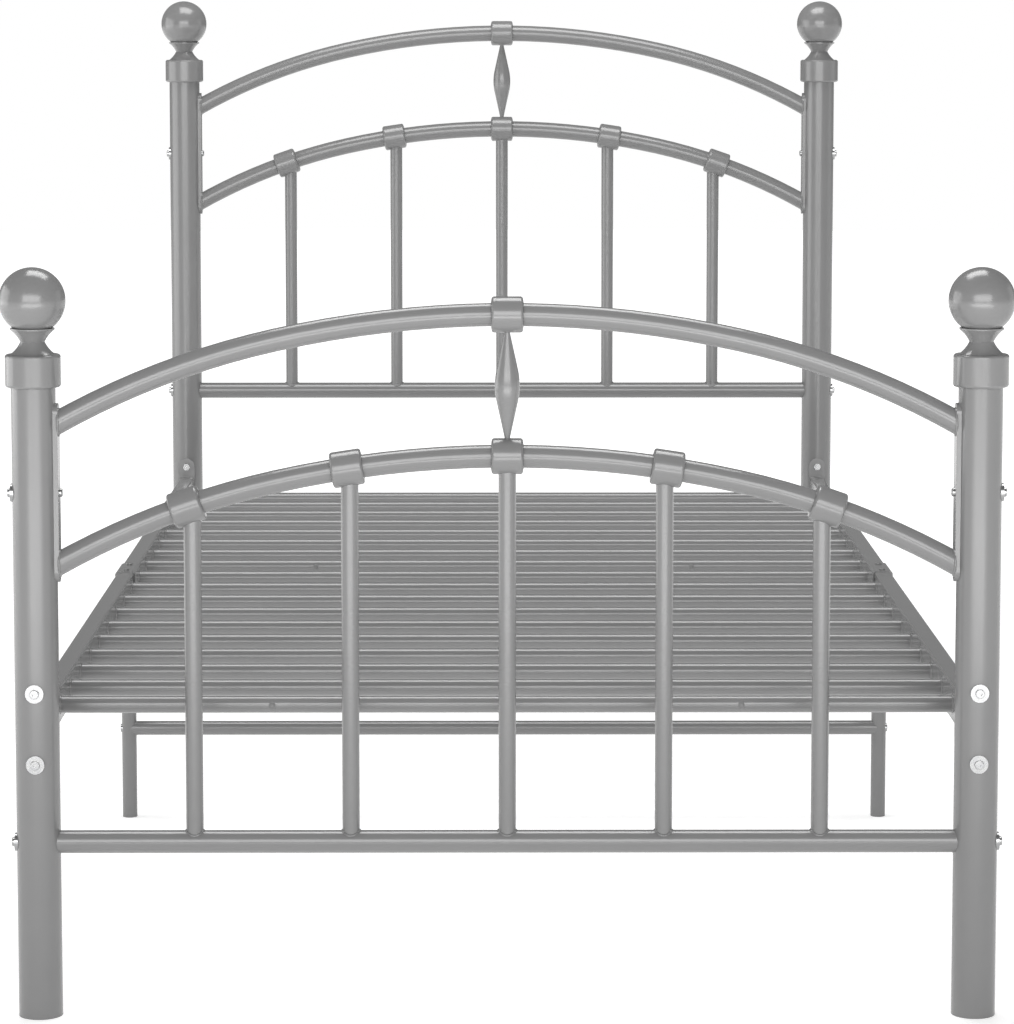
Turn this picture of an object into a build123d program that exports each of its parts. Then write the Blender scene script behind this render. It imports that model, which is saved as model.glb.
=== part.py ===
"""Single metal bed frame: two arched tube ends joined by bolted side rails with welded cross tubes.

Millimetres. +Z is up, X runs across the bed and Y along it. The foot end is at -Y and the head end
at +Y. The origin is on the floor, in the middle of the bed.
"""
import os
from math import asin, copysign, cos, degrees, sin, sqrt

from build123d import *

# ---- overall sizes ----------------------------------------------------------------------------
POST_SPACING = 1020.0      # between the post axes, across the bed
BED_LENGTH = 2000.0        # between the end plates of the side rails
HEAD_RISE = 289.0          # how much higher the head end's tubes stand than the foot end's
END_HEIGHT = 690.0         # floor to the underside of a foot post's cap

# ---- tubes ------------------------------------------------------------------------------------
POST_D = 48.0
POST_WALL = 1.5
ARCH_D = 25.0              # arches and the lower rail of each end
ARCH_WALL = 1.5
BAR_D = 19.0               # upright bars, cross tubes and the middle cross tube
BAR_WALL = 1.2
LEG_D = 20.0
LEG_WALL = 1.5
RAIL_W = 22.0              # side rail: rectangular tube
RAIL_H = 40.0
RAIL_WALL = 1.5
RAIL_CORNER = 2.5

# ---- heights, at the foot end unless said otherwise -------------------------------------------
LOWER_RAIL_Z = 192.3
LOWER_CROWN_Z = 614.8
UPPER_CROWN_Z = 768.0
SIDE_RAIL_Z = 320.6        # the same at both ends
MIDDLE_TUBE_Z = 122.0

# ---- arch line: a crown arc between two tighter shoulder arcs ---------------------------------
CROWN_R = 1150.0
CROWN_HALF = 250.0
SHOULDER_R = 870.0

# ---- collars where bars and spindle meet the arches -------------------------------------------
COLLAR_D = 39.0
COLLAR_RIM_L = 33.0
COLLAR_BORE_L = 35.5
COLLAR_EDGE_R = 3.0
COLLAR_FIT = 0.05          # radial play, beyond what the bend of the arch takes up
BARS_PER_END = 5

# ---- spindle between the two crowns -----------------------------------------------------------
SPINDLE_END_D = 5.8
SPINDLE_BELLY_D = 27.0
SPINDLE_SHOULDER_D = 23.4
SPINDLE_BELLY_L = 34.0

# ---- finials ----------------------------------------------------------------------------------
CAP_WALL = 5.85            # of the cap's socket, round the post
CAP_H = 35.5
CAP_SOCKET = 32.0          # how far the cap slips over the post
CAP_FIT = 0.15             # radial play between cap and post
CAP_EDGE_R = 3.0
NECK_D = 26.2
NECK_HOLLOW = 1.4          # how far the neck's two flares curve inwards
CUP_D = 48.0
CUP_H = 28.0               # top of the cap to the rim of the cup
CUP_RIM = 1.5
BALL_D = 72.0
BALL_WALL = 2.0
BALL_BOSS_D = 20.0
BALL_BOSS_H = 20.0
BALL_RISE = 57.5           # top of the cap to the centre of the ball
STUD_D = 8.0
STUD_L = 16.0
STUD_FIT = 0.05

# ---- side plates, which hold the arch ends against the posts ----------------------------------
SIDE_PLATE_WEB = 2.9       # thickness where the plate is thinnest, over the post
SIDE_PLATE_W = 22.0
SIDE_PLATE_MARGIN = 20.5   # arch end to the plate's end
SIDE_PLATE_WRAP = 2.4      # how far the plate's edges reach round the post

# ---- end plates, which hold the side rails against the posts ----------------------------------
END_PLATE_T = 3.0
END_PLATE_W = 26.0
END_PLATE_H = 105.0
RAIL_BOLT_PITCH = 77.7

# ---- cross tubes ------------------------------------------------------------------------------
CROSS_TUBES_PER_HALF = 9
CROSS_TUBE_END_GAP = 99.0  # end of the rail to the last cross tube
CROSS_TUBE_SADDLE_GAP = 5.5   # saddle's end to the first cross tube
PLUG_X = 262.0             # hole plugs in the cross tubes
PLUG_HEAD_D = 9.5
PLUG_HEAD_H = 1.4
PLUG_STEM_D = 7.0
PLUGGED_TUBES = (("foot", 8), ("head", 1))   # end, place counted from the middle of the bed

# ---- middle of the side rails -----------------------------------------------------------------
SADDLE_T = 2.25
SADDLE_L = 76.0
SADDLE_SCREW_Y = 25.0
LEG_PLATE_T = 2.5

# ---- feet -------------------------------------------------------------------------------------
FOOT_PLUG_H = 12.0
FOOT_PLUG_WALL = 2.0

# ---- fasteners --------------------------------------------------------------------------------
BOLT_D = 6.0
BOLT_HOLE_PLAY = 0.5       # across the diameter
THREAD_FIT = 0.1           # across the diameter
BOLT_HEAD_D = 10.0
BOLT_HEAD_H = 3.4
BOLT_HEAD_EDGE = 0.8
BOLT_SOCKET_AF = 4.0
BOLT_SOCKET_DEPTH = 2.0
WASHER_D = 20.0
WASHER_T = 1.7
BOLT_TAIL = 2.0            # thread showing past a hexagon nut
NUT_AF = 10.0
NUT_H = 5.0
DOME_NUT_D = 9.5
DOME_NUT_H = 3.5
DOME_NUT_WALL = 1.0
RAIL_INSERT_L = 16.0       # threaded plug welded in the end of a tube
INSERT_GRIP = 12.0         # how far a bolt reaches into it
LEG_BOLT_D = 5.0
LEG_BOLT_HEAD_D = 11.0
LEG_BOLT_HEAD_H = 1.5
SCREW_D = 5.0
SCREW_HEAD_D = 9.0
SCREW_HEAD_H = 2.4
SCREW_SOCKET_AF = 3.0
SCREW_SOCKET_DEPTH = 1.4
SCREW_NUT_AF = 8.0
SCREW_NUT_H = 4.0

# ---- places worked out from the sizes ---------------------------------------------------------
ENDS = {"foot": -1, "head": 1}
SIDES = {"left": -1, "right": 1}
RISE = {"foot": 0.0, "head": HEAD_RISE}
POST_X = POST_SPACING / 2
POST_Y = BED_LENGTH / 2 + END_PLATE_T + POST_D / 2
CAP_D = POST_D + 2 * (CAP_FIT + CAP_WALL)
PLATE_FACE_X = POST_X - POST_D / 2 - SIDE_PLATE_WEB
BAR_PITCH = POST_SPACING / (BARS_PER_END + 1)
BAR_XS = [BAR_PITCH * (i - (BARS_PER_END - 1) / 2) for i in range(BARS_PER_END)]
RAIL_INNER_X = POST_X - RAIL_W / 2
FIRST_CROSS_TUBE_Y = SADDLE_L / 2 + CROSS_TUBE_SADDLE_GAP + BAR_D / 2
LAST_CROSS_TUBE_Y = BED_LENGTH / 2 - CROSS_TUBE_END_GAP
CROSS_TUBE_PITCH = (LAST_CROSS_TUBE_Y - FIRST_CROSS_TUBE_Y) / (CROSS_TUBES_PER_HALF - 1)
LEG_PLATE_Z = SIDE_RAIL_Z - RAIL_H / 2 - LEG_PLATE_T
CROWN_ANGLE = asin(CROWN_HALF / CROWN_R)
ARCH_BOW = (COLLAR_BORE_L / 2) ** 2 / (2 * min(CROWN_R, SHOULDER_R))   # of an arch in a collar
COLLAR_BORE_R = ARCH_D / 2 + ARCH_BOW + COLLAR_FIT


def cross_tube_y(end, place):
    """Y of a cross tube, counted from the middle of the bed."""
    return ENDS[end] * (FIRST_CROSS_TUBE_Y + CROSS_TUBE_PITCH * place)


def arch_angle(x):
    """Slope of an arch in radians, at a distance x from the middle."""
    if x <= CROWN_HALF:
        return asin(x / CROWN_R)
    return asin(sin(CROWN_ANGLE) + (x - CROWN_HALF) / SHOULDER_R)


def arch_drop(x):
    """How far an arch's centre line has fallen below its crown, at a distance x from the middle."""
    angle = arch_angle(x)
    if x <= CROWN_HALF:
        return CROWN_R * (1 - cos(angle))
    return CROWN_R * (1 - cos(CROWN_ANGLE)) + SHOULDER_R * (cos(CROWN_ANGLE) - cos(angle))


ARCH_END_DROP = arch_drop(PLATE_FACE_X)
SIDE_BOLT_Z = (UPPER_CROWN_Z + LOWER_CROWN_Z) / 2 - ARCH_END_DROP


def upright_plane(x, y, z):
    """Plane for a profile that is turned about a vertical axis: x outwards, y up."""
    return Plane(origin=(x, y, z), x_dir=(1, 0, 0), z_dir=(0, -1, 0))


def arch_point_location(x, crown_z, end):
    """On an arch's centre line at x, with the local Z axis along the arch."""
    side = 1 if x >= 0 else -1
    z = crown_z + RISE[end] - arch_drop(abs(x))
    return Location((x, ENDS[end] * POST_Y, z), (0, 90 + side * degrees(arch_angle(abs(x))), 0))


def collar_location(x, crown_z, end):
    """Where a collar sits on its arch, so that a bar at x meets the middle of its underside."""
    outwards = copysign(COLLAR_D / 2 * sin(arch_angle(abs(x))), x)
    return arch_point_location(x + outwards, crown_z, end)


def save(piece, name):
    """Label a finished piece and write its file."""
    piece.label = name
    export_step(piece, f"parts/{name}.step")


def save_group(pieces, name):
    """Write several separate solids as one node."""
    save(Compound([solid for piece in pieces for solid in piece.solids()]), name)


# ---- posts and finials ------------------------------------------------------------------------
def make_post(end, side):
    x = SIDES[side] * POST_X
    y = ENDS[end] * POST_Y
    rise = RISE[end]
    with BuildPart() as post:
        with BuildSketch(Plane(origin=(x, y, 0))):
            Circle(POST_D / 2)
            Circle(POST_D / 2 - POST_WALL, mode=Mode.SUBTRACT)
        extrude(amount=END_HEIGHT + rise + CAP_SOCKET)
        rail_bolts = [
            Location((x, y, SIDE_RAIL_Z + offset), (90, 0, 0))
            for offset in (-RAIL_BOLT_PITCH / 2, RAIL_BOLT_PITCH / 2)
        ]
        side_bolts = [Location((x, y, z + rise), (0, 90, 0)) for z in (LOWER_RAIL_Z, SIDE_BOLT_Z)]
        with Locations(*rail_bolts, *side_bolts):
            Cylinder((BOLT_D + BOLT_HOLE_PLAY) / 2, 1.5 * POST_D, mode=Mode.SUBTRACT)
    return post.part


def make_finial_cap(end, side):
    x = SIDES[side] * POST_X
    y = ENDS[end] * POST_Y
    cup_top = CAP_H + CUP_H
    ball_z = CAP_H + BALL_RISE
    ball_r = BALL_D / 2
    stud_r = STUD_D / 2
    seat_r = sqrt(ball_r**2 - (ball_z - cup_top) ** 2)
    seat_middle_r = (seat_r + stud_r) / 2
    seat_middle = (seat_middle_r, ball_z - sqrt(ball_r**2 - seat_middle_r**2))
    stud_foot = (stud_r, ball_z - sqrt(ball_r**2 - stud_r**2))
    stud_top = ball_z - ball_r + STUD_L
    socket_r = POST_D / 2 + CAP_FIT
    rim_z = cup_top - CUP_RIM
    neck_z = (CAP_H + rim_z) / 2
    lower_z, upper_z = (CAP_H + neck_z) / 2, (neck_z + rim_z) / 2
    flare_r = (CUP_D + NECK_D) / 4 - NECK_HOLLOW
    with BuildPart() as cap:
        with BuildSketch(upright_plane(x, y, END_HEIGHT + RISE[end])):
            with BuildLine():
                FilletPolyline(
                    (socket_r, 0), (CAP_D / 2, 0), (CAP_D / 2, CAP_H), (CUP_D / 2, CAP_H),
                    radius=CAP_EDGE_R,
                )
                ThreePointArc((CUP_D / 2, CAP_H), (flare_r, lower_z), (NECK_D / 2, neck_z))
                ThreePointArc((NECK_D / 2, neck_z), (flare_r, upper_z), (CUP_D / 2, rim_z))
                Polyline((CUP_D / 2, rim_z), (CUP_D / 2, cup_top), (seat_r, cup_top))
                ThreePointArc((seat_r, cup_top), seat_middle, stud_foot)
                Polyline(
                    stud_foot, (stud_r, stud_top), (0, stud_top), (0, CAP_SOCKET),
                    (socket_r, CAP_SOCKET), (socket_r, 0),
                )
            make_face()
        revolve(axis=Axis((x, y, 0), (0, 0, 1)))
    return cap.part


def make_finial_ball(end, side):
    x = SIDES[side] * POST_X
    y = ENDS[end] * POST_Y
    outer = BALL_D / 2
    inner = outer - BALL_WALL
    bore = (STUD_D + 2 * STUD_FIT) / 2
    boss = BALL_BOSS_D / 2
    boss_top = BALL_BOSS_H - outer
    mouth = (bore, -sqrt(outer**2 - bore**2))
    boss_foot = (boss, -sqrt(inner**2 - boss**2))
    with BuildPart() as ball:
        with BuildSketch(upright_plane(x, y, END_HEIGHT + RISE[end] + CAP_H + BALL_RISE)):
            with BuildLine():
                ThreePointArc(mouth, (outer, 0), (0, outer))
                Line((0, outer), (0, inner))
                ThreePointArc((0, inner), (inner, 0), boss_foot)
                Polyline(boss_foot, (boss, boss_top), (bore, boss_top), mouth)
            make_face()
        revolve(axis=Axis((x, y, 0), (0, 0, 1)))
    return ball.part


# ---- arches, lower rails, bars, collars and spindles ------------------------------------------
def make_arch(end, crown_z):
    """Bent tube between the side plates."""
    reach = PLATE_FACE_X + ARCH_D / 2
    turn = degrees(CROWN_ANGLE)
    shoulder_turn = degrees(arch_angle(reach)) - turn
    centre_x = (CROWN_R - SHOULDER_R) * sin(CROWN_ANGLE)
    centre_z = (CROWN_R - SHOULDER_R) * cos(CROWN_ANGLE) - CROWN_R
    end_y = ENDS[end] * POST_Y
    with BuildPart() as arch:
        with BuildLine(upright_plane(0, end_y, crown_z + RISE[end])) as path:
            CenterArc((centre_x, centre_z), SHOULDER_R, 90 - turn - shoulder_turn, shoulder_turn)
            CenterArc((0, -CROWN_R), CROWN_R, 90 - turn, 2 * turn)
            CenterArc((-centre_x, centre_z), SHOULDER_R, 90 + turn, shoulder_turn)
        with BuildSketch(Plane(origin=path.line @ 0, z_dir=path.line % 0)):
            Circle(ARCH_D / 2)
            Circle(ARCH_D / 2 - ARCH_WALL, mode=Mode.SUBTRACT)
        sweep()
        # both ends are cut square to the floor, to sit on the side plates
        with Locations((0, end_y, crown_z + RISE[end] - ARCH_END_DROP / 2)):
            Box(2 * PLATE_FACE_X, 2 * ARCH_D, ARCH_END_DROP + 4 * ARCH_D, mode=Mode.INTERSECT)
    return arch.part


def make_side_plate(end, side):
    """Upright plate welded to two arch ends, with its back hollowed to fit the post."""
    out = SIDES[side]
    y = ENDS[end] * POST_Y
    middle_z = SIDE_BOLT_Z + RISE[end]
    height = UPPER_CROWN_Z - LOWER_CROWN_Z + 2 * SIDE_PLATE_MARGIN
    face = Plane(origin=(out * PLATE_FACE_X, y, middle_z), x_dir=(0, 1, 0), z_dir=(out, 0, 0))
    with BuildPart() as plate:
        with BuildSketch(face):
            SlotOverall(height, SIDE_PLATE_W, rotation=90)
        extrude(amount=SIDE_PLATE_WEB + SIDE_PLATE_WRAP)
        with Locations((out * POST_X, y, middle_z)):
            Cylinder(POST_D / 2, 2 * height, mode=Mode.SUBTRACT)
        with Locations(Location((out * PLATE_FACE_X, y, middle_z), (0, 90, 0))):
            Cylinder((BOLT_D + BOLT_HOLE_PLAY) / 2, POST_D, mode=Mode.SUBTRACT)
    return plate.part


def make_lower_rail(end):
    """Straight tube between the posts, coped to them, with a threaded plug in each end."""
    y = ENDS[end] * POST_Y
    z = LOWER_RAIL_Z + RISE[end]
    inner_r = ARCH_D / 2 - ARCH_WALL
    insert_x = POST_X - POST_D / 2 - RAIL_INSERT_L
    with BuildPart() as rail:
        with Locations(Location((0, y, z), (0, 90, 0))):
            Cylinder(ARCH_D / 2, POST_SPACING)
            Cylinder(inner_r, 2 * insert_x, mode=Mode.SUBTRACT)
            Cylinder((BOLT_D + THREAD_FIT) / 2, POST_SPACING, mode=Mode.SUBTRACT)
        with Locations((-POST_X, y, z), (POST_X, y, z)):
            Cylinder(POST_D / 2, 2 * ARCH_D, mode=Mode.SUBTRACT)
    return rail.part


def make_bar(end, x):
    """Upright tube, coped to the lower rail below and to its collar above."""
    y = ENDS[end] * POST_Y
    foot_z = LOWER_RAIL_Z + RISE[end]
    top_z = LOWER_CROWN_Z + RISE[end] - arch_drop(abs(x))
    with BuildPart() as bar:
        with BuildSketch(Plane(origin=(x, y, foot_z))):
            Circle(BAR_D / 2)
            Circle(BAR_D / 2 - BAR_WALL, mode=Mode.SUBTRACT)
        extrude(amount=top_z - foot_z)
        with Locations(Location((x, y, foot_z), (0, 90, 0))):
            Cylinder(ARCH_D / 2, 3 * BAR_D, mode=Mode.SUBTRACT)
        with Locations(collar_location(x, LOWER_CROWN_Z, end)):
            Cylinder(COLLAR_D / 2, 3 * BAR_D, mode=Mode.SUBTRACT)
    return bar.part


def make_collar(end, x, crown_z):
    """Cast sleeve round an arch, with softened rims, turned to the slope of the arch."""
    place = collar_location(x, crown_z, end)
    along = Plane(place).z_dir
    across = Plane(place).x_dir
    rim = COLLAR_RIM_L / 2
    mouth = COLLAR_BORE_L / 2
    radius = COLLAR_D / 2
    with BuildPart() as collar:
        with BuildSketch(Plane(origin=place.position, x_dir=along, z_dir=along.cross(across))):
            with BuildLine():
                FilletPolyline(
                    (-mouth, COLLAR_BORE_R), (-rim, radius), (rim, radius), (mouth, COLLAR_BORE_R),
                    radius=COLLAR_EDGE_R,
                )
                Line((mouth, COLLAR_BORE_R), (-mouth, COLLAR_BORE_R))
            make_face()
        revolve(axis=Axis(place.position, along))
    return collar.part


def make_spindle(end):
    """Turned rod between the two crown collars: two cones and a rounded belly."""
    y = ENDS[end] * POST_Y
    middle_z = (UPPER_CROWN_Z + LOWER_CROWN_Z) / 2 + RISE[end]
    crown_gap = UPPER_CROWN_Z - LOWER_CROWN_Z
    tip = (crown_gap - COLLAR_D) / 2
    seat = tip + SPINDLE_END_D / 2
    end_r = SPINDLE_END_D / 2
    shoulder = (SPINDLE_SHOULDER_D / 2, SPINDLE_BELLY_L / 2)
    with BuildPart() as spindle:
        with BuildSketch(upright_plane(0, y, middle_z)):
            with BuildLine():
                Polyline(
                    (shoulder[0], -shoulder[1]), (end_r, -tip), (end_r, -seat), (0, -seat),
                    (0, seat), (end_r, seat), (end_r, tip), shoulder,
                )
                ThreePointArc(shoulder, (SPINDLE_BELLY_D / 2, 0), (shoulder[0], -shoulder[1]))
            make_face()
        revolve(axis=Axis((0, y, 0), (0, 0, 1)))
        with Locations(
            Location((0, y, middle_z - crown_gap / 2), (0, 90, 0)),
            Location((0, y, middle_z + crown_gap / 2), (0, 90, 0)),
        ):
            Cylinder(COLLAR_D / 2, COLLAR_RIM_L, mode=Mode.SUBTRACT)
    return spindle.part


# ---- side rails, their end plates and the cross tubes -----------------------------------------
def make_side_rail(end, side):
    """Half a side rail, from the end plate to the middle of the bed."""
    x = SIDES[side] * POST_X
    out = ENDS[end]
    with BuildPart() as rail:
        with BuildSketch(Plane(origin=(x, 0, SIDE_RAIL_Z), x_dir=(1, 0, 0), z_dir=(0, out, 0))):
            RectangleRounded(RAIL_W, RAIL_H, RAIL_CORNER)
            RectangleRounded(
                RAIL_W - 2 * RAIL_WALL, RAIL_H - 2 * RAIL_WALL, RAIL_CORNER - RAIL_WALL,
                mode=Mode.SUBTRACT,
            )
        extrude(amount=BED_LENGTH / 2)
        with Locations((x, out * SADDLE_SCREW_Y, SIDE_RAIL_Z)):
            Cylinder((SCREW_D + BOLT_HOLE_PLAY) / 2, 2 * RAIL_H, mode=Mode.SUBTRACT)
    return rail.part


def make_end_plate(end, side):
    x = SIDES[side] * POST_X
    out = ENDS[end]
    face = Plane(
        origin=(x, out * BED_LENGTH / 2, SIDE_RAIL_Z), x_dir=(1, 0, 0), z_dir=(0, out, 0)
    )
    with BuildPart() as plate:
        with BuildSketch(face):
            SlotOverall(END_PLATE_H, END_PLATE_W, rotation=90)
            with GridLocations(0, RAIL_BOLT_PITCH, 1, 2):
                Circle((BOLT_D + BOLT_HOLE_PLAY) / 2, mode=Mode.SUBTRACT)
        extrude(amount=END_PLATE_T)
    return plate.part


def make_cross_tube(end, place):
    """Round tube between the side rails. Some have two plugged holes in their foot side."""
    y = cross_tube_y(end, place)
    with BuildPart() as tube:
        with Locations(Location((0, y, SIDE_RAIL_Z), (0, 90, 0))):
            Cylinder(BAR_D / 2, 2 * RAIL_INNER_X)
            Cylinder(BAR_D / 2 - BAR_WALL, 2 * RAIL_INNER_X, mode=Mode.SUBTRACT)
        if (end, place) in PLUGGED_TUBES:
            with Locations(
                *[Location((x, y, SIDE_RAIL_Z), (90, 0, 0)) for x in (-PLUG_X, PLUG_X)]
            ):
                Cylinder(
                    PLUG_STEM_D / 2, BAR_D, mode=Mode.SUBTRACT,
                    align=(Align.CENTER, Align.CENTER, Align.MIN),
                )
    return tube.part


def make_hole_plug(end, place, x):
    """Domed plug pressed into a cross tube's hole."""
    y = cross_tube_y(end, place)
    stem_foot = BAR_D / 2 - 3 * BAR_WALL
    rim = sqrt((BAR_D / 2) ** 2 - (PLUG_HEAD_D / 2) ** 2)
    crown = BAR_D / 2 + PLUG_HEAD_H
    axis_plane = Plane(origin=(x, y, SIDE_RAIL_Z), x_dir=(1, 0, 0), z_dir=(0, 0, 1))
    with BuildPart() as plug:
        with BuildSketch(axis_plane):
            with BuildLine():
                ThreePointArc((-PLUG_HEAD_D / 2, -rim), (0, -crown), (PLUG_HEAD_D / 2, -rim))
                Line((PLUG_HEAD_D / 2, -rim), (-PLUG_HEAD_D / 2, -rim))
            make_face()
            split(bisect_by=Plane.YZ)
        revolve(axis=Axis((x, y, SIDE_RAIL_Z), (0, 1, 0)))
        with Locations(Location((0, y, SIDE_RAIL_Z), (0, 90, 0))):
            Cylinder(BAR_D / 2, POST_SPACING, mode=Mode.SUBTRACT)
        with Locations(Location((x, y - stem_foot, SIDE_RAIL_Z), (90, 0, 0))):
            Cylinder(
                PLUG_STEM_D / 2, BAR_D / 2 - stem_foot + PLUG_HEAD_H / 4,
                align=(Align.CENTER, Align.CENTER, Align.MIN),
            )
    return plug.part


# ---- middle of the bed ------------------------------------------------------------------------
def make_rail_saddle(side):
    """Folded sheet over the joint of the two rail halves."""
    x = SIDES[side] * POST_X
    with BuildPart() as saddle:
        with BuildSketch(Plane(origin=(x, 0, SIDE_RAIL_Z), x_dir=(1, 0, 0), z_dir=(0, -1, 0))):
            RectangleRounded(RAIL_W + 2 * SADDLE_T, RAIL_H + 2 * SADDLE_T, RAIL_CORNER + SADDLE_T)
            RectangleRounded(RAIL_W, RAIL_H, RAIL_CORNER, mode=Mode.SUBTRACT)
            with Locations((0, -RAIL_H / 2)):
                Rectangle(2 * RAIL_W, 2 * RAIL_CORNER + 2 * SADDLE_T, mode=Mode.SUBTRACT)
        extrude(amount=SADDLE_L / 2, both=True)
        with Locations((x, -SADDLE_SCREW_Y, SIDE_RAIL_Z), (x, SADDLE_SCREW_Y, SIDE_RAIL_Z)):
            Cylinder((SCREW_D + BOLT_HOLE_PLAY) / 2, 2 * RAIL_H, mode=Mode.SUBTRACT)
    return saddle.part


def make_middle_leg(side):
    """Leg tube with a plate welded on top, which the rail joint is screwed to."""
    x = SIDES[side] * POST_X
    with BuildPart() as leg:
        with BuildSketch(Plane(origin=(x, 0, 0))):
            Circle(LEG_D / 2)
            Circle(LEG_D / 2 - LEG_WALL, mode=Mode.SUBTRACT)
        extrude(amount=LEG_PLATE_Z)
        with BuildSketch(Plane(origin=(x, 0, LEG_PLATE_Z))):
            Rectangle(RAIL_W, SADDLE_L)
            with GridLocations(0, 2 * SADDLE_SCREW_Y, 1, 2):
                Circle((SCREW_D + BOLT_HOLE_PLAY) / 2, mode=Mode.SUBTRACT)
        extrude(amount=LEG_PLATE_T)
        with Locations(Location((x, 0, MIDDLE_TUBE_Z), (0, 90, 0))):
            Cylinder((LEG_BOLT_D + BOLT_HOLE_PLAY) / 2, 2 * LEG_D, mode=Mode.SUBTRACT)
    return leg.part


def make_middle_cross_tube():
    insert_x = POST_X - LEG_D / 2 - RAIL_INSERT_L
    with BuildPart() as tube:
        with Locations(Location((0, 0, MIDDLE_TUBE_Z), (0, 90, 0))):
            Cylinder(BAR_D / 2, POST_SPACING)
            Cylinder(BAR_D / 2 - BAR_WALL, 2 * insert_x, mode=Mode.SUBTRACT)
            Cylinder((LEG_BOLT_D + THREAD_FIT) / 2, POST_SPACING, mode=Mode.SUBTRACT)
        with Locations((-POST_X, 0, MIDDLE_TUBE_Z), (POST_X, 0, MIDDLE_TUBE_Z)):
            Cylinder(LEG_D / 2, 2 * BAR_D, mode=Mode.SUBTRACT)
    return tube.part


def make_foot_plug(x, y, tube_bore_d):
    """Plastic cup pressed into the open end of a post or leg, flush with it."""
    with BuildPart() as plug:
        with BuildSketch(Plane(origin=(x, y, 0))):
            Circle(tube_bore_d / 2)
        extrude(amount=FOOT_PLUG_H)
        with BuildSketch(Plane(origin=(x, y, FOOT_PLUG_WALL))):
            Circle(tube_bore_d / 2 - FOOT_PLUG_WALL)
        extrude(amount=FOOT_PLUG_H, mode=Mode.SUBTRACT)
    return plug.part


# ---- fasteners, made at the origin with +Z pointing out of the surface that they sit on --------
def make_bolt(grip):
    """Socket bolt on a washer. The grip is measured from the post's surface to the bolt's tip."""
    with BuildPart() as bolt:
        with BuildSketch(Plane.XY.offset(-grip)):
            Circle(BOLT_D / 2)
        extrude(amount=grip + WASHER_T)
        with BuildSketch(Plane.XY.offset(WASHER_T)):
            Circle(BOLT_HEAD_D / 2)
        extrude(amount=BOLT_HEAD_H)
        fillet(bolt.edges().group_by(Axis.Z)[-1], BOLT_HEAD_EDGE)
        with BuildSketch(Plane.XY.offset(WASHER_T + BOLT_HEAD_H)):
            RegularPolygon(BOLT_SOCKET_AF / 2, 6, major_radius=False)
        extrude(amount=-BOLT_SOCKET_DEPTH, mode=Mode.SUBTRACT)
    return bolt.part


def make_washer():
    """Washer whose underside is hollowed to the post."""
    sunk = POST_D / 2 - sqrt((POST_D / 2) ** 2 - (WASHER_D / 2) ** 2)
    with BuildPart() as washer:
        with BuildSketch(Plane.XY.offset(-sunk)):
            Circle(WASHER_D / 2)
            Circle((BOLT_D + BOLT_HOLE_PLAY) / 2, mode=Mode.SUBTRACT)
        extrude(amount=sunk + WASHER_T)
        with Locations(Location((0, 0, -POST_D / 2), (90, 0, 0))):
            Cylinder(POST_D / 2, 2 * WASHER_D, mode=Mode.SUBTRACT)
    return washer.part


def make_hex_nut(across_flats, height, thread_d):
    """Hexagon nut below the surface at Z = 0."""
    with BuildPart() as nut:
        with BuildSketch(Plane.XY.offset(-height)):
            RegularPolygon(across_flats / 2, 6, major_radius=False)
            Circle((thread_d + THREAD_FIT) / 2, mode=Mode.SUBTRACT)
        extrude(amount=height)
    return nut.part


def make_dome_nut():
    """Low round nut with a closed, rounded crown, above the surface at Z = 0."""
    with BuildPart() as nut:
        with BuildSketch():
            Circle(DOME_NUT_D / 2)
        extrude(amount=DOME_NUT_H)
        fillet(nut.edges().group_by(Axis.Z)[-1], DOME_NUT_H / 2)
        with BuildSketch():
            Circle((BOLT_D + THREAD_FIT) / 2)
        extrude(amount=DOME_NUT_H - DOME_NUT_WALL, mode=Mode.SUBTRACT)
    return nut.part


def make_leg_bolt():
    """Low pan head, hollowed to the leg, on a bolt that reaches into the middle cross tube."""
    leg_r = LEG_D / 2
    sunk = leg_r - sqrt(leg_r**2 - (LEG_BOLT_HEAD_D / 2) ** 2)
    grip = LEG_D + INSERT_GRIP
    with BuildPart() as bolt:
        with BuildSketch(Plane.XY.offset(-sunk)):
            Circle(LEG_BOLT_HEAD_D / 2)
        extrude(amount=sunk + LEG_BOLT_HEAD_H)
        fillet(bolt.edges().group_by(Axis.Z)[-1], LEG_BOLT_HEAD_H / 2)
        with Locations(Location((0, 0, -leg_r), (90, 0, 0))):
            Cylinder(leg_r, 2 * LEG_D, mode=Mode.SUBTRACT)
        with BuildSketch(Plane.XY.offset(-grip)):
            Circle(LEG_BOLT_D / 2)
        extrude(amount=grip + LEG_BOLT_HEAD_H / 2)
        with BuildSketch(Plane.XY.offset(LEG_BOLT_HEAD_H)):
            RegularPolygon(SCREW_SOCKET_AF / 2, 6, major_radius=False)
        extrude(amount=-LEG_BOLT_HEAD_H / 2, mode=Mode.SUBTRACT)
    return bolt.part


def make_saddle_screw():
    """Pan-head screw down through saddle, rail and leg plate, from the saddle's top face."""
    grip = SADDLE_T + RAIL_H + LEG_PLATE_T + SCREW_NUT_H
    with BuildPart() as screw:
        with BuildSketch():
            Circle(SCREW_HEAD_D / 2)
        extrude(amount=SCREW_HEAD_H)
        fillet(screw.edges().group_by(Axis.Z)[-1], SCREW_HEAD_H / 2)
        with BuildSketch(Plane.XY.offset(SCREW_HEAD_H)):
            RegularPolygon(SCREW_SOCKET_AF / 2, 6, major_radius=False)
        extrude(amount=-SCREW_SOCKET_DEPTH, mode=Mode.SUBTRACT)
        with BuildSketch():
            Circle(SCREW_D / 2)
        extrude(amount=-grip)
    return screw.part


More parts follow.
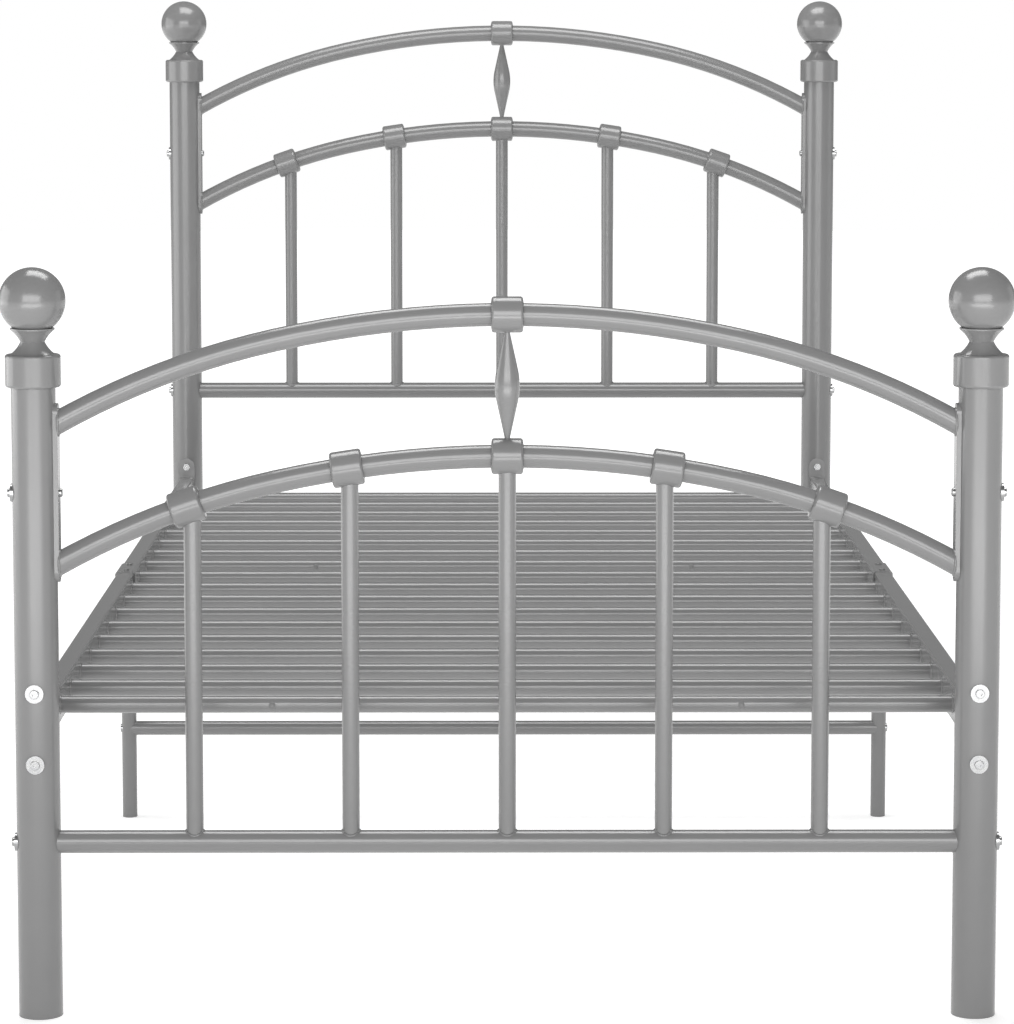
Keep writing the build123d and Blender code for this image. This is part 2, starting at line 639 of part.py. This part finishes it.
def rail_bolt_seat(end, side, offset, depth):
    """On a post's line with a side rail, depth in from the post's outer surface, facing out."""
    out = ENDS[end]
    y = out * (POST_Y + POST_D / 2 - depth)
    z = SIDE_RAIL_Z + offset
    return Plane(origin=(SIDES[side] * POST_X, y, z), x_dir=(1, 0, 0), z_dir=(0, out, 0))


def side_bolt_seat(end, side, z):
    """On a post's outer side, facing out across the bed."""
    out = SIDES[side]
    x = out * (POST_X + POST_D / 2)
    return Plane(
        origin=(x, ENDS[end] * POST_Y, z + RISE[end]), x_dir=(0, 1, 0), z_dir=(out, 0, 0)
    )


def placed(piece, planes):
    """Copies of a fastener, one on each plane."""
    return [piece.moved(plane.location) for plane in planes]


def make_fasteners():
    corners = [(end, side) for end in ENDS for side in SIDES]
    offsets = (-RAIL_BOLT_PITCH / 2, RAIL_BOLT_PITCH / 2)
    saddle_top = SIDE_RAIL_Z + RAIL_H / 2 + SADDLE_T
    rail_grip = POST_D + END_PLATE_T + NUT_H + BOLT_TAIL
    plate_grip = POST_D + SIDE_PLATE_WEB + DOME_NUT_H - DOME_NUT_WALL
    washer = make_washer()

    rail_seats = [rail_bolt_seat(end, side, dz, 0) for end, side in corners for dz in offsets]
    save_group(placed(make_bolt(rail_grip), rail_seats) + placed(washer, rail_seats), "rail_bolts")

    plate_seats = [side_bolt_seat(end, side, SIDE_BOLT_Z) for end, side in corners]
    lower_seats = [side_bolt_seat(end, side, LOWER_RAIL_Z) for end, side in corners]
    plate_bolts = placed(make_bolt(plate_grip), plate_seats)
    lower_bolts = placed(make_bolt(POST_D + INSERT_GRIP), lower_seats)
    washers = placed(washer, plate_seats + lower_seats)
    save_group(plate_bolts + lower_bolts + washers, "side_bolts")

    nut_seats = [
        rail_bolt_seat(end, side, dz, POST_D + END_PLATE_T) for end, side in corners for dz in offsets
    ]
    dome_seats = [
        Plane(
            origin=(SIDES[side] * PLATE_FACE_X, ENDS[end] * POST_Y, SIDE_BOLT_Z + RISE[end]),
            x_dir=(0, 1, 0), z_dir=(-SIDES[side], 0, 0),
        )
        for end, side in corners
    ]
    saddle_nut_seats = [
        Plane(origin=(SIDES[side] * POST_X, ENDS[end] * SADDLE_SCREW_Y, LEG_PLATE_Z))
        for end, side in corners
    ]
    rail_nuts = placed(make_hex_nut(NUT_AF, NUT_H, BOLT_D), nut_seats)
    dome_nuts = placed(make_dome_nut(), dome_seats)
    saddle_nuts = placed(make_hex_nut(SCREW_NUT_AF, SCREW_NUT_H, SCREW_D), saddle_nut_seats)
    save_group(rail_nuts + dome_nuts + saddle_nuts, "nuts")

    leg_seats = [
        Plane(
            origin=(out * (POST_X + LEG_D / 2), 0, MIDDLE_TUBE_Z), x_dir=(0, 1, 0), z_dir=(out, 0, 0)
        )
        for out in SIDES.values()
    ]
    save_group(placed(make_leg_bolt(), leg_seats), "leg_bolts")

    screw_seats = [
        Plane(origin=(SIDES[side] * POST_X, ENDS[end] * SADDLE_SCREW_Y, saddle_top))
        for end, side in corners
    ]
    save_group(placed(make_saddle_screw(), screw_seats), "saddle_screws")


# ---- the whole bed ----------------------------------------------------------------------------
def make_bed_end(end):
    """Everything that belongs to the head or to the foot of the bed, apart from fasteners."""
    for side in SIDES:
        save(make_post(end, side), f"post_{end}_{side}")
        save(make_finial_cap(end, side), f"finial_cap_{end}_{side}")
        save(make_finial_ball(end, side), f"finial_ball_{end}_{side}")
        save(make_side_plate(end, side), f"side_plate_{end}_{side}")
        save(make_side_rail(end, side), f"side_rail_{end}_{side}")
        save(make_end_plate(end, side), f"end_plate_{end}_{side}")
    save(make_arch(end, UPPER_CROWN_Z), f"upper_arch_{end}")
    save(make_arch(end, LOWER_CROWN_Z), f"lower_arch_{end}")
    save(make_lower_rail(end), f"lower_rail_{end}")
    for i, x in enumerate(BAR_XS):
        save(make_bar(end, x), f"bar_{end}_{i + 1}")
    save(make_collar(end, 0.0, UPPER_CROWN_Z), f"upper_collar_{end}")
    save_group([make_collar(end, x, LOWER_CROWN_Z) for x in BAR_XS], f"lower_collars_{end}")
    save(make_spindle(end), f"spindle_{end}")
    tubes = [make_cross_tube(end, place) for place in range(CROSS_TUBES_PER_HALF)]
    save_group(tubes, f"cross_tubes_{end}")


def make_middle():
    for side in SIDES:
        save(make_rail_saddle(side), f"rail_saddle_{side}")
        save(make_middle_leg(side), f"middle_leg_{side}")
    save(make_middle_cross_tube(), "middle_cross_tube")
    hole_plugs = [make_hole_plug(*tube, x) for tube in PLUGGED_TUBES for x in (-PLUG_X, PLUG_X)]
    save_group(hole_plugs, "hole_plugs")
    post_bore = POST_D - 2 * POST_WALL
    leg_bore = LEG_D - 2 * LEG_WALL
    foot_plugs = [
        make_foot_plug(across * POST_X, along * POST_Y, post_bore)
        for across in SIDES.values() for along in ENDS.values()
    ]
    foot_plugs += [make_foot_plug(across * POST_X, 0, leg_bore) for across in SIDES.values()]
    save_group(foot_plugs, "foot_plugs")


os.makedirs("parts", exist_ok=True)
for bed_end in ENDS:
    make_bed_end(bed_end)
make_middle()
make_fasteners()
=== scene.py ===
"""Finishes, weld beads and studio for a single bed frame of powder-coated steel tube. Metres."""
import math
import random

import bmesh
import bpy
from bpy.props import FloatProperty, FloatVectorProperty, IntProperty, PointerProperty
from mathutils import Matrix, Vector


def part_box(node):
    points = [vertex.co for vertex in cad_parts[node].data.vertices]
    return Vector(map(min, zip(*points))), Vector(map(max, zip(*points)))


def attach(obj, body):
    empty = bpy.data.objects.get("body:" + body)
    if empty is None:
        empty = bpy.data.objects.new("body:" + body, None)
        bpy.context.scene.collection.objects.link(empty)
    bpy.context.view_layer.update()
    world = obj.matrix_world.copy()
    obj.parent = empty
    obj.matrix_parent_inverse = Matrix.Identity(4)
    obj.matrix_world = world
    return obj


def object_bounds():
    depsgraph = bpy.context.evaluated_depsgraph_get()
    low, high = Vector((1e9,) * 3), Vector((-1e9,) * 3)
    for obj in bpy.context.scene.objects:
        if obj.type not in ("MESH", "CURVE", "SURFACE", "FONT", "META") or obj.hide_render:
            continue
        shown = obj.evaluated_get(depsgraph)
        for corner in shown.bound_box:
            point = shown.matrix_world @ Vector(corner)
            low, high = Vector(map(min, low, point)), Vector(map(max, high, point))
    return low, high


bl_info = {
    "name": "Arched tube bed frame",
    "version": (1, 0, 0),
    "blender": (4, 5, 0),
    "location": "View3D > Sidebar > Bed Frame",
    "description": "Powder coat, zinc plate, plastic, weld beads and a studio for a tube bed frame",
    "category": "Object",
}

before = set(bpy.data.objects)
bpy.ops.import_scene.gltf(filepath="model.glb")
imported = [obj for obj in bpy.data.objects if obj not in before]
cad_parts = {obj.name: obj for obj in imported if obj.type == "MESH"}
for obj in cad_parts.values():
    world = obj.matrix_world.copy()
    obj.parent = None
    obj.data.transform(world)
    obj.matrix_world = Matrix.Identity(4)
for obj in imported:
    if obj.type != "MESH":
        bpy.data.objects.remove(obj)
CAD_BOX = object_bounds()
ENDS = ("foot", "head")
MM = 0.001


# ---- colours and node helper --------------------------------------------------------------------
def linear(hex_colour):
    """An sRGB hex value as a linear RGBA colour."""
    channels = [int(hex_colour[i:i + 2], 16) / 255 for i in (1, 3, 5)]
    return [c / 12.92 if c <= 0.04045 else ((c + 0.055) / 1.055) ** 2.4 for c in channels] + [1.0]


def add_node(tree, kind, links=None, **settings):
    """A node with its settings. Links give each named input a value or another node's socket."""
    made = tree.nodes.new(kind)
    for name, value in settings.items():
        setattr(made, name, value)
    for socket, value in (links or {}).items():
        if isinstance(value, bpy.types.NodeSocket):
            tree.links.new(value, made.inputs[socket])
        else:
            made.inputs[socket].default_value = value
    return made


def new_material(name):
    """An empty material with its shader and output joined."""
    material = bpy.data.materials.new(name)
    material.use_nodes = True
    tree = material.node_tree
    tree.nodes.clear()
    shader = add_node(tree, "ShaderNodeBsdfPrincipled")
    add_node(tree, "ShaderNodeOutputMaterial", {"Surface": shader.outputs["BSDF"]})
    return material, tree, shader


def noise_of_size(tree, size_mm, detail):
    """Noise whose features are about size_mm across, in the bed's own coordinates."""
    place = add_node(tree, "ShaderNodeTexCoord")
    return add_node(
        tree, "ShaderNodeTexNoise",
        {"Vector": place.outputs["Object"], "Scale": 1 / (size_mm * MM), "Detail": detail},
    )


# ---- materials ----------------------------------------------------------------------------------
def powder_coated_steel(name, light, dark, roughness, peel_mm, peel_depth_mm):
    """Polyester powder coat, baked on steel: satin, opaque, with the soft orange peel of the flow.

    The cloudy tone comes from the film's uneven thickness. Real orange peel is 1 to 2 mm across
    and is drawn a little coarser here, so that it shows at the size of the picture.
    """
    material, tree, shader = new_material(name)
    cloud = noise_of_size(tree, size_mm=70, detail=3)
    tone = add_node(
        tree, "ShaderNodeMix",
        {"Factor": cloud.outputs["Fac"], "A": linear(dark), "B": linear(light)}, data_type="RGBA",
    )
    peel = noise_of_size(tree, size_mm=peel_mm, detail=2)
    gloss = add_node(
        tree, "ShaderNodeMapRange",
        {"Value": peel.outputs["Fac"], "To Min": roughness - 0.03, "To Max": roughness + 0.03},
    )
    bump = add_node(
        tree, "ShaderNodeBump",
        {"Height": peel.outputs["Fac"], "Distance": peel_depth_mm * MM, "Strength": 0.5},
    )
    tree.links.new(tone.outputs["Result"], shader.inputs["Base Color"])
    tree.links.new(gloss.outputs["Result"], shader.inputs["Roughness"])
    tree.links.new(bump.outputs["Normal"], shader.inputs["Normal"])
    shader.inputs["IOR"].default_value = 1.6
    return material


def bright_zinc_plate():
    """Electroplated zinc on turned steel, with faint cloudy passivation.

    It is a little darker than real zinc, which burns out to white under the softboxes.
    """
    material, tree, shader = new_material("bright_zinc_plate")
    cloud = noise_of_size(tree, size_mm=5, detail=3)
    tone = add_node(
        tree, "ShaderNodeMix",
        {"Factor": cloud.outputs["Fac"], "A": linear("#9a9b9e"), "B": linear("#aaaaa8")},
        data_type="RGBA",
    )
    grain = noise_of_size(tree, size_mm=1.5, detail=2)
    gloss = add_node(
        tree, "ShaderNodeMapRange", {"Value": grain.outputs["Fac"], "To Min": 0.18, "To Max": 0.3}
    )
    tree.links.new(tone.outputs["Result"], shader.inputs["Base Color"])
    tree.links.new(gloss.outputs["Result"], shader.inputs["Roughness"])
    shader.inputs["Metallic"].default_value = 1.0
    return material


def moulded_polyethylene(name, colour):
    """Injection-moulded polyethylene: waxy and matt, with the fine spark texture of its mould."""
    material, tree, shader = new_material(name)
    spark = noise_of_size(tree, size_mm=1.2, detail=2)
    bump = add_node(
        tree, "ShaderNodeBump",
        {"Height": spark.outputs["Fac"], "Distance": 0.05 * MM, "Strength": 0.5},
    )
    tree.links.new(bump.outputs["Normal"], shader.inputs["Normal"])
    shader.inputs["Base Color"].default_value = linear(colour)
    shader.inputs["Roughness"].default_value = 0.55
    shader.inputs["IOR"].default_value = 1.51
    return material


def white_studio_floor(colour, glow, fade_start, fade_end):
    """Painted studio floor that glows like a light table, though it is no lamp: painted light,
    which also lights the bed from below.

    Its painted glow is weak near the bed and rises with the distance from it, so that the floor
    fades into the white room.
    """
    material, tree, shader = new_material("white_studio_floor")
    place = add_node(tree, "ShaderNodeTexCoord")
    reach = add_node(
        tree, "ShaderNodeVectorMath", {0: place.outputs["Object"]}, operation="LENGTH"
    )
    # Painted light: the floor's glow, weak round the bed and rising to white with the distance from
    # it
    fade = add_node(
        tree, "ShaderNodeMapRange",
        {"Value": reach.outputs["Value"], "From Min": fade_start, "From Max": fade_end,
         "To Min": glow, "To Max": 1.0},
    )
    shader.inputs["Base Color"].default_value = list(colour) + [1.0]
    shader.inputs["Roughness"].default_value = 0.9
    shader.inputs["Specular IOR Level"].default_value = 0.1
    shader.inputs["Emission Color"].default_value = [1.0, 1.0, 1.0, 1.0]
    tree.links.new(fade.outputs["Result"], shader.inputs["Emission Strength"])
    return material


def give_material(node, material):
    """A CAD node keeps its mesh and takes a material."""
    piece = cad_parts[node]
    piece.data.materials.clear()
    piece.data.materials.append(material)


def nodes_starting(*starts):
    return [name for name in sorted(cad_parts) if name.startswith(starts)]


# ---- weld beads ---------------------------------------------------------------------------------
def add_bead(mesh, points, radius, ripple, seed):
    """Closed fillet of weld along points, with the ripples that the moving pool leaves."""
    chance = random.Random(seed)
    sides = 8
    count = len(points)
    middle = sum(points, Vector()) / count
    rings = []
    for i, point in enumerate(points):
        along = (points[(i + 1) % count] - points[i - 1]).normalized()
        outward = point - middle
        outward = (outward - along * outward.dot(along)).normalized()
        across = along.cross(outward)
        swell = radius * (1 + ripple * math.sin(math.pi * i) + chance.uniform(-0.5, 0.5) * ripple)
        rings.append([
            mesh.verts.new(point + swell * (math.cos(a) * outward + math.sin(a) * across))
            for a in (math.tau * k / sides for k in range(sides))
        ])
    for ring, following in zip(rings, rings[1:] + rings[:1]):
        for k in range(sides):
            mesh.faces.new((ring[k], ring[k - 1], following[k - 1], following[k]))


def finish_beads(name, mesh, material):
    """Turn gathered beads into one smooth piece of the bed."""
    bmesh.ops.recalc_face_normals(mesh, faces=mesh.faces)
    data = bpy.data.meshes.new(name)
    mesh.to_mesh(data)
    mesh.free()
    data.shade_smooth()
    data.materials.append(material)
    piece = bpy.data.objects.new(name, data)
    bpy.context.scene.collection.objects.link(piece)
    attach(piece, "root")
    return piece


def ellipse_points(centre, half_a, half_b, step):
    """Evenly turned points of an ellipse, given by its two half axes as vectors."""
    count = 2 * max(8, round(math.pi * (half_a.length + half_b.length) / 2 / step))
    angles = [math.tau * i / count for i in range(count)]
    return [centre + math.cos(a) * half_a + math.sin(a) * half_b for a in angles]


def middle_of(node):
    low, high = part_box(node)
    return (low + high) / 2


def size_of(node):
    low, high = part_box(node)
    return high - low


# ---- settings -----------------------------------------------------------------------------------
class BedFinishSettings(bpy.types.PropertyGroup):
    coat_roughness: FloatProperty(
        name="Coat roughness", description="Roughness of the powder coat", default=0.22,
        min=0.1, max=0.9,
    )
    peel_size: FloatProperty(
        name="Orange peel size", description="Width of the coat's orange peel, in millimetres",
        default=3.0, min=0.5,
    )
    peel_depth: FloatProperty(
        name="Orange peel depth", description="Depth of the orange peel, in millimetres",
        default=0.05, min=0.0,
    )
    bead_radius: FloatProperty(
        name="Weld bead radius", description="Radius of a weld bead", default=1.4 * MM,
        min=0.2 * MM, subtype="DISTANCE", unit="LENGTH",
    )
    bead_ripple: FloatProperty(
        name="Weld ripple", description="Height of the ripples as a share of the bead's radius",
        default=0.1, min=0.0, max=0.5,
    )
    bead_step: FloatProperty(
        name="Weld ripple spacing", description="Half the distance between two ripples",
        default=0.9 * MM, min=0.2 * MM, subtype="DISTANCE", unit="LENGTH",
    )
    rail_corner: FloatProperty(
        name="Rail corner radius", description="Outer corner radius of the side rails",
        default=2.5 * MM, min=0.0, subtype="DISTANCE", unit="LENGTH",
    )


class BedStageSettings(bpy.types.PropertyGroup):
    camera_place: FloatVectorProperty(
        name="Camera place", description="Where the camera stands, from the middle of the bed",
        default=(-0.0172, -5.0809, 1.0911), subtype="TRANSLATION", unit="LENGTH",
    )
    camera_aim: FloatVectorProperty(
        name="Camera aim", description="The point that the camera looks at",
        default=(0.0040, 0.0, 0.5574), subtype="TRANSLATION", unit="LENGTH",
    )
    lens: FloatProperty(
        name="Lens", description="Focal length in millimetres", default=133.1, min=10.0,
        subtype="DISTANCE_CAMERA",
    )
    frame_drop: FloatProperty(
        name="Vertical shift",
        description="Shift of the lens, which lets the camera pitch less and posts stay upright",
        default=-0.10,
    )
    floor_radius: FloatProperty(
        name="Floor radius", description="Radius of the round studio floor", default=14.0,
        min=3.0, subtype="DISTANCE", unit="LENGTH",
    )
    floor_colour: FloatVectorProperty(
        name="Floor colour", description="Linear colour of the floor's paint",
        default=(0.88, 0.88, 0.88), subtype="COLOR", min=0.0, max=1.0,
    )
    floor_glow: FloatProperty(
        name="Floor glow", description="Light that the floor gives off", default=0.42, min=0.0,
    )
    fade_start: FloatProperty(
        name="Fade start", description="Distance from the middle where the glow starts to rise",
        default=1.6, min=0.0, subtype="DISTANCE", unit="LENGTH",
    )
    fade_end: FloatProperty(
        name="Fade end", description="Distance from the middle where the floor is white",
        default=4.0, min=0.0, subtype="DISTANCE", unit="LENGTH",
    )
    room_light: FloatProperty(
        name="Room light", description="Brightness of the room round the bed", default=0.29,
        min=0.0,
    )
    backdrop_light: FloatProperty(
        name="Backdrop light", description="Brightness of the backdrop seen behind the bed",
        default=1.0, min=0.0,
    )
    floor_sides: IntProperty(
        name="Floor sides", description="Sides of the floor's outline", default=96, min=12,
    )


# ---- operators ----------------------------------------------------------------------------------
class BED_OT_coat_frame(bpy.types.Operator):
    """Powder coat on tubes, plates, castings and balls"""
    bl_idname = "bed.coat_frame"
    bl_label = "Coat the frame"

    def execute(self, context):
        settings = context.scene.bed_finish
        coat = (settings.coat_roughness, settings.peel_size, settings.peel_depth)
        tube = powder_coated_steel("powder_coat_on_tube", "#747474", "#6e6e6e", *coat)
        casting = powder_coated_steel("powder_coat_on_castings", "#767676", "#6d6d6d", *coat)
        ball = powder_coated_steel("powder_coat_on_balls", "#737373", "#6f6f6f", *coat)
        tubes = nodes_starting(
            "post", "side_plate", "upper_arch", "lower_arch", "lower_rail", "bar", "side_rail",
            "end_plate", "cross_tubes", "rail_saddle", "middle",
        )
        for node in tubes:
            give_material(node, tube)
        for node in nodes_starting("finial_cap", "upper_collar", "lower_collars", "spindle"):
            give_material(node, casting)
        for node in nodes_starting("finial_ball"):
            give_material(node, ball)
        give_material("saddle_screws", casting)
        return {"FINISHED"}


class BED_OT_plate_fasteners(bpy.types.Operator):
    """Bright zinc plate on bolts, washers and nuts"""
    bl_idname = "bed.plate_fasteners"
    bl_label = "Plate the fasteners"

    def execute(self, context):
        zinc = bright_zinc_plate()
        for node in ("rail_bolts", "side_bolts", "leg_bolts", "nuts"):
            give_material(node, zinc)
        return {"FINISHED"}


class BED_OT_mould_plugs(bpy.types.Operator):
    """Moulded plastic for the plugs in feet and cross tubes"""
    bl_idname = "bed.mould_plugs"
    bl_label = "Mould the plugs"

    def execute(self, context):
        foot_plastic = moulded_polyethylene("grey_foot_plug", "#787878")
        hole_plastic = moulded_polyethylene("grey_hole_plug", "#6c6c6c")
        give_material("foot_plugs", foot_plastic)
        give_material("hole_plugs", hole_plastic)
        return {"FINISHED"}


class BED_OT_weld_bars(bpy.types.Operator):
    """Weld beads where the bars stand on the lower rails"""
    bl_idname = "bed.weld_bars"
    bl_label = "Weld the bars"

    def execute(self, context):
        settings = context.scene.bed_finish
        mesh = bmesh.new()
        for seed, node in enumerate(nodes_starting("bar_")):
            rail = "lower_rail_" + node.split("_")[1]
            rail_r = size_of(rail).y / 2
            bar_r = size_of(node).x / 2
            foot = middle_of(node)
            foot.z = middle_of(rail).z
            ring = ellipse_points(
                foot, Vector((bar_r, 0, 0)), Vector((0, bar_r, 0)), settings.bead_step
            )
            for point in ring:
                point.z += math.sqrt(rail_r**2 - (point.y - foot.y) ** 2)
            add_bead(mesh, ring, settings.bead_radius, settings.bead_ripple, seed)
        finish_beads("welds_bars", mesh, bpy.data.materials["powder_coat_on_tube"])
        return {"FINISHED"}


class BED_OT_weld_cross_tubes(bpy.types.Operator):
    """Weld beads where the cross tubes meet the side rails"""
    bl_idname = "bed.weld_cross_tubes"
    bl_label = "Weld the cross tubes"

    def execute(self, context):
        settings = context.scene.bed_finish
        mesh = bmesh.new()
        for end in ENDS:
            node = "cross_tubes_" + end
            low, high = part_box(node)
            radius = (high.z - low.z) / 2
            for i, y in enumerate(self.tube_rows(node, radius)):
                for x in (low.x, high.x):
                    ring = ellipse_points(
                        Vector((x, y, (low.z + high.z) / 2)), Vector((0, radius, 0)),
                        Vector((0, 0, radius)), settings.bead_step,
                    )
                    seed = f"{end}{i}{x > 0}"
                    add_bead(mesh, ring, settings.bead_radius, settings.bead_ripple, seed)
        finish_beads("welds_cross_tubes", mesh, bpy.data.materials["powder_coat_on_tube"])
        return {"FINISHED"}

    @staticmethod
    def tube_rows(node, radius):
        """Y of each tube's axis, from the group's own vertices."""
        rows = []
        for y in sorted(vertex.co.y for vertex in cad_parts[node].data.vertices):
            if not rows or y > rows[-1] + 2 * radius:
                rows.append(y + radius)
        return rows


class BED_OT_weld_arches(bpy.types.Operator):
    """Weld beads where the arches meet the side plates"""
    bl_idname = "bed.weld_arches"
    bl_label = "Weld the arches"

    def execute(self, context):
        settings = context.scene.bed_finish
        mesh = bmesh.new()
        for arch in nodes_starting("upper_arch", "lower_arch"):
            low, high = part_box(arch)
            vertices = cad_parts[arch].data.vertices
            for x in (low.x, high.x):
                face = [v.co.z for v in vertices if abs(v.co.x - x) < 0.01 * MM]
                centre = Vector((x, (low.y + high.y) / 2, (min(face) + max(face)) / 2))
                ring = ellipse_points(
                    centre, Vector((0, (high.y - low.y) / 2, 0)),
                    Vector((0, 0, (max(face) - min(face)) / 2)), settings.bead_step,
                )
                seed = f"{arch}{x > 0}"
                add_bead(mesh, ring, settings.bead_radius, settings.bead_ripple, seed)
        finish_beads("welds_arches", mesh, bpy.data.materials["powder_coat_on_tube"])
        return {"FINISHED"}


class BED_OT_weld_rails(bpy.types.Operator):
    """Weld beads where the side rails meet their end plates and the legs meet their plates"""
    bl_idname = "bed.weld_rails"
    bl_label = "Weld the rails and legs"

    def execute(self, context):
        settings = context.scene.bed_finish
        mesh = bmesh.new()
        for rail in nodes_starting("side_rail"):
            low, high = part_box(rail)
            y = max(low.y, high.y, key=abs)
            ring = self.rounded_outline(
                Vector(((low.x + high.x) / 2, y, (low.z + high.z) / 2)), (high.x - low.x) / 2,
                (high.z - low.z) / 2, settings.rail_corner, settings.bead_step,
            )
            add_bead(mesh, ring, settings.bead_radius, settings.bead_ripple, rail)
        for leg in nodes_starting("middle_leg"):
            low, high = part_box(leg)
            places = [vertex.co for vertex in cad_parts[leg].data.vertices]
            foot_xs = [place.x for place in places if place.z < low.z + 0.1 * MM]
            radius = (max(foot_xs) - min(foot_xs)) / 2
            plate_z = min(place.z for place in places if abs(place.y) > 2 * radius)
            ring = ellipse_points(
                Vector(((low.x + high.x) / 2, (low.y + high.y) / 2, plate_z)),
                Vector((radius, 0, 0)), Vector((0, radius, 0)), settings.bead_step,
            )
            add_bead(mesh, ring, settings.bead_radius, settings.bead_ripple, leg)
        finish_beads("welds_rails", mesh, bpy.data.materials["powder_coat_on_tube"])
        return {"FINISHED"}

    @staticmethod
    def rounded_outline(centre, half_x, half_z, corner, step):
        """Evenly spaced points round an upright rectangle with rounded corners."""
        corners = []
        for quarter, (sx, sz) in enumerate(((1, 1), (-1, 1), (-1, -1), (1, -1))):
            pivot = centre + Vector((sx * (half_x - corner), 0, sz * (half_z - corner)))
            for k in range(4):
                turn = math.pi / 2 * (quarter + k / 3)
                corners.append(pivot + corner * Vector((math.cos(turn), 0, math.sin(turn))))
        points = []
        for start, end in zip(corners, corners[1:] + corners[:1]):
            count = max(1, round((end - start).length / step))
            points += [start.lerp(end, i / count) for i in range(count)]
        return points[:len(points) // 2 * 2]


class BED_OT_set_stage(bpy.types.Operator):
    """Camera, pale floor, soft lights and white backdrop"""
    bl_idname = "bed.set_stage"
    bl_label = "Set the stage"

    def execute(self, context):
        settings = context.scene.bed_stage
        self.place_camera(context, settings)
        self.lay_floor(context, settings)
        self.hang_lights(context)
        self.light_room(context, settings)
        context.scene.view_settings.view_transform = "Standard"
        return {"FINISHED"}

    @staticmethod
    def place_camera(context, settings):
        camera = bpy.data.cameras.new("camera")
        camera.lens = settings.lens
        camera.shift_y = settings.frame_drop
        camera.clip_end = 100
        stand = bpy.data.objects.new("camera", camera)
        stand.location = settings.camera_place
        view = Vector(settings.camera_aim) - Vector(settings.camera_place)
        stand.rotation_euler = view.to_track_quat("-Z", "Y").to_euler()
        context.scene.collection.objects.link(stand)
        context.scene.camera = stand

    @staticmethod
    def lay_floor(context, settings):
        mesh = bmesh.new()
        bmesh.ops.create_circle(
            mesh, cap_ends=True, segments=settings.floor_sides, radius=settings.floor_radius
        )
        data = bpy.data.meshes.new("studio_floor")
        mesh.to_mesh(data)
        mesh.free()
        data.materials.append(white_studio_floor(
            settings.floor_colour, settings.floor_glow, settings.fade_start, settings.fade_end
        ))
        floor = bpy.data.objects.new("studio_floor", data)
        floor.location.z = CAD_BOX[0].z
        context.scene.collection.objects.link(floor)

    @staticmethod
    def hang_lights(context):
        """Softboxes: name, place, aim, width, height, watts."""
        foot_y = CAD_BOX[0].y
        boxes = (
            ("front_softbox", (0.0, foot_y - 4.6, 1.75), (0, foot_y, 0.6), 5.6, 2.0, 175),
            ("floor_softbox", (0.0, foot_y - 3.6, 0.02), (0, foot_y - 3.6, 2.0), 4.4, 2.8, 190),
            ("left_softbox", (-3.6, 0.2, 1.15), (0, 0.2, 0.6), 3.2, 2.0, 48),
            ("right_softbox", (4.2, 1.0, 1.4), (0, 0.0, 0.6), 2.4, 2.0, 9),
            ("top_softbox", (0.0, 0.3, 3.4), (0, 0.3, 0.0), 2.2, 1.6, 70),
        )
        for name, place, aim, width, height, watts in boxes:
            light = bpy.data.lights.new(name, "AREA")
            light.shape = "RECTANGLE"
            light.size = width
            light.size_y = height
            light.energy = watts
            box = bpy.data.objects.new(name, light)
            box.location = place
            view = Vector(aim) - Vector(place)
            box.rotation_euler = view.to_track_quat("-Z", "Y").to_euler()
            box.visible_camera = False
            context.scene.collection.objects.link(box)

    @staticmethod
    def light_room(context, settings):
        """The room lights the bed softly, and is seen as a white backdrop."""
        world = bpy.data.worlds.new("white_room")
        world.use_nodes = True
        tree = world.node_tree
        tree.nodes.clear()
        seen = add_node(tree, "ShaderNodeBackground", {"Strength": settings.backdrop_light})
        unseen = add_node(tree, "ShaderNodeBackground", {"Strength": settings.room_light})
        for background in (seen, unseen):
            background.inputs["Color"].default_value = [1.0, 1.0, 1.0, 1.0]
        path = add_node(tree, "ShaderNodeLightPath")
        choice = add_node(
            tree, "ShaderNodeMixShader",
            {0: path.outputs["Is Camera Ray"], 1: unseen.outputs[0], 2: seen.outputs[0]},
        )
        add_node(tree, "ShaderNodeOutputWorld", {"Surface": choice.outputs[0]})
        context.scene.world = world


class BED_PT_panel(bpy.types.Panel):
    bl_label = "Bed Frame"
    bl_idname = "BED_PT_panel"
    bl_space_type = "VIEW_3D"
    bl_region_type = "UI"
    bl_category = "Bed Frame"

    def draw(self, context):
        for settings in (context.scene.bed_finish, context.scene.bed_stage):
            for name in settings.__annotations__:
                self.layout.prop(settings, name)
        for operator in OPERATORS:
            self.layout.operator(operator.bl_idname)


OPERATORS = (
    BED_OT_set_stage, BED_OT_coat_frame, BED_OT_plate_fasteners, BED_OT_mould_plugs,
    BED_OT_weld_bars, BED_OT_weld_cross_tubes, BED_OT_weld_arches,
    BED_OT_weld_rails,
)
CLASSES = (BedFinishSettings, BedStageSettings, *OPERATORS, BED_PT_panel)


def register():
    for cls in CLASSES:
        bpy.utils.register_class(cls)
    bpy.types.Scene.bed_finish = PointerProperty(type=BedFinishSettings)
    bpy.types.Scene.bed_stage = PointerProperty(type=BedStageSettings)


def unregister():
    del bpy.types.Scene.bed_stage
    del bpy.types.Scene.bed_finish
    for cls in reversed(CLASSES):
        bpy.utils.unregister_class(cls)


def main():
    register()
    bpy.ops.bed.set_stage()
    bpy.ops.bed.coat_frame()
    bpy.ops.bed.plate_fasteners()
    bpy.ops.bed.mould_plugs()
    bpy.ops.bed.weld_bars()
    bpy.ops.bed.weld_cross_tubes()
    bpy.ops.bed.weld_arches()
    bpy.ops.bed.weld_rails()


if __name__ == "__main__":
    main()
